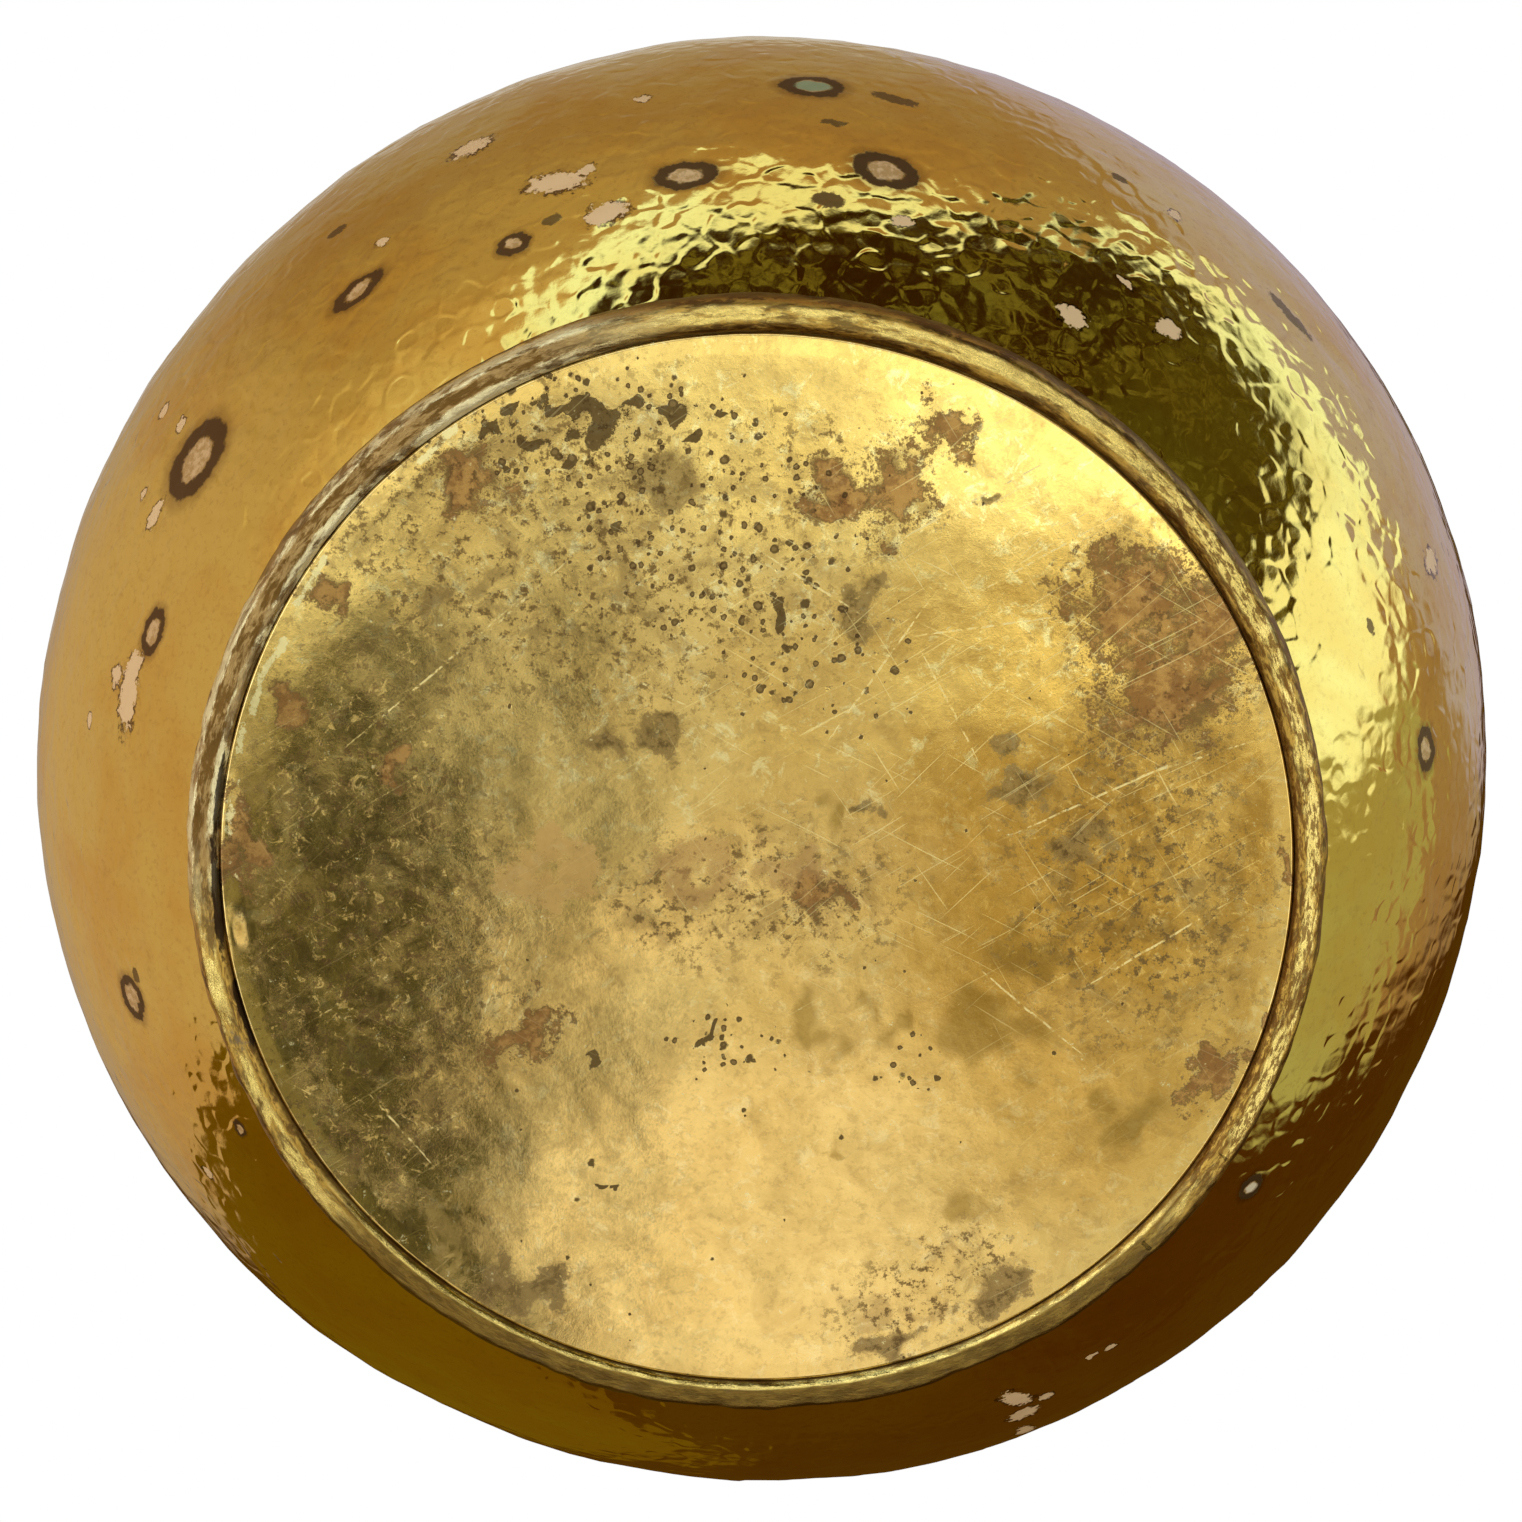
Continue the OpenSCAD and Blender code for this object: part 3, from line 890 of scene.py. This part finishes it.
def rubbed_and_highlit_bead():
    """The foot bead: painted highlights on the rubbed crest and on the slopes, brown and grey in the
    hollows, the brown partly painted shade.
    """
    material, s, shader, at = new_material("rubbed_bead_with_painted_highlights")
    crest = (land_out - land / 2) / MM
    parts = s.split(at)
    flat = s.join(X=parts["X"], Y=parts["Y"])
    across = s.minus(s.vector("LENGTH", flat), crest)
    # Coordinates true across the bead and drawn out along it.
    aside_only = s.join(Z=across)
    drawn_out = s.vector("SCALE", s.vector("NORMALIZE", flat), 0.24 * crest)
    run = s.vector("ADD", drawn_out, aside_only)
    fleck = s.noise(run, 0.9, 5, 0.72, 0.3)
    aside = s.math("ABSOLUTE", across)
    loose_aside = s.plus(aside, s.times(s.minus(fleck, 0.5), 1.7))
    # Painted highlights: on the slopes, with a dull crest, on the far left; on the rubbed crest,
    # with dull slopes, elsewhere; and only a thin bright line by the seam on the +Y side, low in the
    # picture.
    silvery_highlight_side = s.ramp(on_plate(s, at, -50, -36, 34, 50, 45), 1.1, 0.7)
    slopes = s.times(s.ramp(loose_aside, 0.7, 1.05), s.ramp(loose_aside, 2.25, 1.95))
    low_side = s.ramp(on_plate(s, at, 0, 62, 62, 38), 1.15, 0.8)
    crusty = s.ramp(on_plate(s, at, 66, -8, 40, 54), 1.1, 0.7)
    # A thin painted highlight along the seam.
    inner_line = s.ramp(s.math("ABSOLUTE", s.plus(across, 1.55)), 0.45, 0.22)
    crest_line = s.times(s.ramp(loose_aside, 1.05, 0.55), s.ramp(low_side, 0, 1, 1.0, 0.0))
    painted_highlight = s.plus(s.times(slopes, silvery_highlight_side), s.times(crest_line, s.minus(1.0, silvery_highlight_side)))
    gaps = s.ramp(s.noise(run, 2.2, 5, 0.7, 0.3), 0.43, 0.52, 0.12, 1.0)
    inner_line = s.times(inner_line, s.ramp(gaps, 0.1, 0.5, 0.4, 1.0))
    painted_highlight = s.math("MAXIMUM", s.times(painted_highlight, gaps), s.times(inner_line, low_side))
    dull = s.mix(s.ramp(fleck, 0.44, 0.56), (0.17, 0.1, 0.035),
                 s.mix(silvery_highlight_side, (0.6, 0.4, 0.11), (0.44, 0.31, 0.16)))
    dull = s.mix(s.times(low_side, 0.75), dull, (0.19, 0.135, 0.045))
    # Colour of the painted highlights.
    highlight_colour = s.mix(silvery_highlight_side, (1.0, 0.84, 0.36), (1.0, 0.95, 0.72))
    colour = s.mix(painted_highlight, dull, highlight_colour)
    grit = s.noise(run, 0.42, 4, 0.75, 0.4)
    grains = s.times(s.ramp(grit, 0.48, 0.54), s.ramp(crusty, 0, 1, 0.25, 0.85))
    colour = s.mix(grains, colour, (0.2, 0.1, 0.03))
    # Brown dirt and painted shade where the bead's slopes meet the wall and the plate, lighter on
    # the far left.
    grime_and_shade = s.times(s.ramp(loose_aside, 1.5, 2.1), s.ramp(silvery_highlight_side, 0, 1, 1.0, 0.25))
    colour = s.mix(s.times(grime_and_shade, 0.85), colour, (0.15, 0.085, 0.032))
    grey = s.ramp(s.noise(s.vector("ADD", at, (40, 3, 9)), 8, 5, 0.7, 0.5), 0.56, 0.64)
    sooty = s.ramp(on_plate(s, at, -62, 6, 14, 26), 1.2, 0.6, 0.15, 0.85)
    colour = s.mix(s.times(grey, sooty), colour, (0.24, 0.19, 0.15))
    # Painted shade, near black, in the opened joint.
    crack_shade = nearest(s, (on_plate(s, at, *place) for place in SHADED_CRACKS))
    crack_shade = s.plus(crack_shade, s.times(s.minus(fleck, 0.5), 2.0))
    colour = s.mix(s.ramp(crack_shade, 1.1, 0.8, 0.0, 0.95), colour, (0.03, 0.018, 0.012))
    s.put(shader.inputs["Base Color"], colour)
    # Less metal in the highlights on the far left, so they show paler: tin from the solder, and
    # painted highlight.
    tinned_and_highlit = s.times(painted_highlight, s.times(silvery_highlight_side, 0.6))
    s.put(shader.inputs["Metallic"], s.minus(1.0, tinned_and_highlit))
    polish = s.ramp(painted_highlight, 0.2, 0.8, 0.34, 0.1)
    s.put(shader.inputs["Roughness"], s.plus(polish, s.times(grime_and_shade, 0.2), True))
    dings = s.bump(s.noise(run, 1.6, 3, 0.6), 0.1 * MM)
    dings = s.bump(grit, 0.1 * MM, dings)
    s.put(shader.inputs["Normal"], s.bump(fleck, 0.07 * MM, dings))
    return material


def grey_solder():
    material, s, shader, at = new_material("dull_grey_solder")
    crust = s.noise(at, 2.5, 5, 0.65, 0.4)
    colour = s.mix(s.ramp(crust, 0.35, 0.7), (0.34, 0.32, 0.31), (0.13, 0.11, 0.1))
    s.put(shader.inputs["Base Color"], colour)
    s.put(shader.inputs["Roughness"], s.ramp(crust, 0.3, 0.7, 0.38, 0.62))
    s.put(shader.inputs["Normal"], s.bump(s.noise(at, 1.2, 4, 0.6), 0.15 * MM))
    return material


def dark_iron():
    material, s, shader, at = new_material("dark_iron")
    rust = s.ramp(s.noise(at, 3, 5, 0.7), 0.45, 0.65)
    s.put(shader.inputs["Base Color"], s.mix(rust, (0.1, 0.09, 0.085), (0.17, 0.07, 0.03)))
    s.put(shader.inputs["Roughness"], s.ramp(rust, 0, 1, 0.45, 0.8))
    s.put(shader.inputs["Normal"], s.bump(s.noise(at, 0.7, 3, 0.6), 0.05 * MM))
    return material


# ------- the studio

# Colours of the room by height: sine of the elevation, then the colour.
ROOM = (
    (-0.96, (0.72, 0.65, 0.42)), (-0.6, (0.92, 0.8, 0.55)), (-0.15, (0.66, 0.48, 0.24)),
    (0.1, (0.46, 0.31, 0.14)), (0.55, (0.35, 0.225, 0.11)), (0.88, (0.39, 0.29, 0.2)),
    (1, (0.62, 0.56, 0.5)),
)
# Cards and flags round the pot: angle, elevation, half-width and half-height in degrees,
# roll, softness, square or round, colour.
CARDS = (
    (172, 8, 38, 50, 0, 0.6, False, (0.56, 0.39, 0.22)),
    (74, 14, 43, 62, 0, 0.12, True, (0.074, 0.026, 0.001)),
    (95, 14, 26, 62, 0, 0.4, True, (0.09, 0.04, 0.001)),
    (128, 6, 18, 56, 24, 0.05, True, (0.16, 0.09, 0.002)),
    (-26, 52, 24, 31, 0, 0.12, False, (0.46, 0.39, 0.48)),
    (66, 56, 23, 30, 0, 0.12, True, (0.08, 0.032, 0.001)),
    (16, 4, 22, 21, 0, 0.15, False, (0.42, 0.4, 0.19)),
    (-34, -5, 31, 34, 0, 0.05, False, (1.05, 1.2, 1.05)),
    (-76, -28, 45, 37, 0, 0.05, False, (1.05, 1.2, 1.05)),
    (-10, 0, 14, 19, 0, 0.25, False, (1.15, 1.3, 1.15)),
    (-46, -22, 30, 41, 0, 0.08, False, (0.036, 0.017, 0.002)),
    (-74, -31, 38, 33, 0, 0.08, False, (0.033, 0.013, 0.001)),
    (-36, -8, 12, 24, 0, 0.6, False, (0.08, 0.064, 0.008)),
    (188, -48, 30, 9, 0, 0.4, False, (2.3, 2.25, 1.75)),
    (-122, -48, 30, 9, 0, 0.4, False, (1.6, 1.55, 1.2)),
    (-78, -52, 24, 7, 0, 0.4, False, (1.5, 1.45, 1.1)),
    (22, -50, 34, 8, 0, 0.4, False, (1.6, 1.55, 1.2)),
)
# Cards seen only in the flat of the foot, laid out on a sheet at unit distance below it:
# X, Y, half-sizes, turn, softness, square or round, colour.
LOW_CARDS = (
    (0, 0.01, 0.26, 0.055, 0, 0.6, False, (1.2, 1.1, 0.66)),
    (0.085, 0.066, 0.12, 0.07, 12, 0.6, False, (1.82, 1.74, 0.98)),
    (-0.07, 0.115, 0.09, 0.055, 0, 0.6, False, (0.66, 0.59, 0.38)),
    (0.08, 0.235, 0.078, 0.095, 0, 0.45, False, (0.45, 0.33, 0.12)),
    (-0.05, 0.4, 0.13, 0.14, 0, 0.5, False, (1.1, 0.95, 0.66)),
    (0.122, 0.103, 0.034, 0.02, 40, 0.8, False, (2.6, 2.4, 1.55)),
    (-0.196, 0.3, 0.105, 0.185, -1, 0.04, True, (0.06, 0.056, 0.024)),
    (-0.225, 0.27, 0.045, 0.17, 0, 0.5, False, (0.29, 0.255, 0.11)),
    (-0.19, 0.095, 0.07, 0.048, 0, 0.6, False, (1.25, 1.14, 0.68)),
)


def share_of_card(s, local, soft, square):
    """1 on a card whose half-sizes are the units of local's Y and Z, and 0 off it."""
    if square:
        parts = s.split(s.vector("ABSOLUTE", local))
        off = s.math("MAXIMUM", parts["Y"], parts["Z"])
    else:
        off = s.vector("LENGTH", s.vector("MULTIPLY", local, (0, 1, 1)))
    return s.ramp(off, 1 + soft, 1 - soft)


def with_cards(s, room, way):
    for angle, rise, wide, tall, roll, soft, square, colour in CARDS:
        sizes = (1, math.tan(math.radians(wide)), math.tan(math.radians(tall)))
        local = s.place(way, turn=(roll, -rise, angle), size=sizes)
        near = s.math("DIVIDE", 1.0, s.math("MAXIMUM", s.split(local)["X"], 0.001))
        share = share_of_card(s, s.vector("SCALE", local, near), soft, square)
        room = s.mix(share, room, colour)
    return room


def with_clutter(s, room, way, forwards):
    """Leaves and other small things that the dark side of the room holds."""
    clutter = s.ramp(s.noise(way, 0.13, 5, 0.75), 0.49, 0.6)
    brightness = s.vector("DOT_PRODUCT", room, (0.33, 0.33, 0.33))
    clutter = s.times(clutter, s.ramp(brightness, 0.1, 0.02, 0.0, 0.8))
    clutter = s.times(clutter, s.ramp(forwards, 0.25, -0.1))
    return s.mix(clutter, room, (0.22, 0.2, 0.045))


def with_low_cards(s, room, way, height):
    down = s.math("MAXIMUM", s.times(height, -1.0), 0.001)
    sheet_below = s.vector("SCALE", way, s.math("DIVIDE", 1.0, down))
    ragged = s.wander(sheet_below, 0.03, 4, 0.6)
    sheet_below = s.vector("ADD", sheet_below, s.vector("SCALE", ragged, 0.03))
    for x, y, half_x, half_y, turn, soft, square, colour in LOW_CARDS:
        local = s.place(sheet_below, (x, y, 0), (0, 0, turn), (half_x, half_y, 1))
        parts = s.split(local)
        share = share_of_card(s, s.join(Y=parts["X"], Z=parts["Y"]), soft, square)
        share = s.times(share, s.math("LESS_THAN", height, -0.3))
        room = s.mix(share, room, colour)
    return room


def studio():
    """A soft room round the pot, seen only in the brass: the camera sees plain white."""
    world = bpy.data.worlds.new("studio")
    scene.world = world
    s = Sketch(world)
    way = s.node("TexCoord").outputs["Generated"]
    parts = s.split(way)
    room = ROOM[0][1]
    for (low, _), (high, colour) in zip(ROOM, ROOM[1:]):
        room = s.mix(s.ramp(parts["Z"], low, high), room, colour)
    room = with_cards(s, room, way)
    room = with_clutter(s, room, way, parts["Y"])
    room = with_low_cards(s, room, way, parts["Z"])
    light = s.node("LightPath").outputs["Is Camera Ray"]
    back = s.node("Background")
    s.put(back.inputs["Color"], s.mix(light, room, (1, 1, 1)))
    s.output("OutputWorld", back)


def one_sided_floor():
    """A pale floor that shows only from above, so that the camera below sees past it."""
    bpy.ops.mesh.primitive_plane_add(size=6, location=(0, 0, 0))
    floor = bpy.context.object
    floor.name = "floor"
    material = bpy.data.materials.new("pale_floor")
    s = Sketch(material)
    pale = s.node("BsdfDiffuse")
    pale.inputs["Color"].default_value = (0.86, 0.86, 0.85, 1)
    clear = s.node("BsdfTransparent")
    mixed = s.node("MixShader")
    s.put(mixed.inputs[0], s.node("NewGeometry").outputs["Backfacing"])
    s.put(mixed.inputs[1], pale.outputs[0])
    s.put(mixed.inputs[2], clear.outputs[0])
    s.output("OutputMaterial", mixed)
    floor.data.materials.append(material)
    floor.visible_glossy = floor.visible_diffuse = floor.visible_shadow = False


LAMP_AT = (-0.5, -0.4, 1.6)


def overhead_light():
    data = bpy.data.lights.new("overhead", "AREA")
    data.shape = "DISK"
    data.size = 1.2
    data.energy = 14
    lamp = bpy.data.objects.new("overhead", data)
    lamp.location = LAMP_AT
    lamp.visible_glossy = False
    lamp.rotation_euler = Vector(LAMP_AT).to_track_quat("Z", "Y").to_euler()
    scene.collection.objects.link(lamp)


# The camera, as a phone is held under the pot. Its turn is in degrees.
CAMERA_AT = (0.004, -0.0631, -0.2676)
CAMERA_TURN = (169.56, -0.72, -0.03)
SENSOR, LENS = 36, 56.8


def camera_below():
    """Looks up at the foot from a little to one side."""
    data = bpy.data.cameras.new("camera")
    data.sensor_width = SENSOR
    data.lens = LENS
    data.clip_start = 0.01
    camera = bpy.data.objects.new("camera", data)
    camera.location = CAMERA_AT
    camera.rotation_euler = [math.radians(a) for a in CAMERA_TURN]
    scene.collection.objects.link(camera)
    scene.camera = camera


# ------- putting it together

camera_below()
studio()
one_sided_floor()
overhead_light()
scene.view_settings.view_transform = "Standard"

dull_inside = inside_brass()
show(wall(), "wall_brass", polished_wall(), dull_inside)
show(base_plate(), "plate_brass", worn_plate(), dull_inside)
show(foot_bead(), "bead_brass", rubbed_and_highlit_bead())
show(solder(), "solder", grey_solder())

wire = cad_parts["rim_wire"]
wire.data.materials.clear()
wire.data.materials.append(dark_iron())
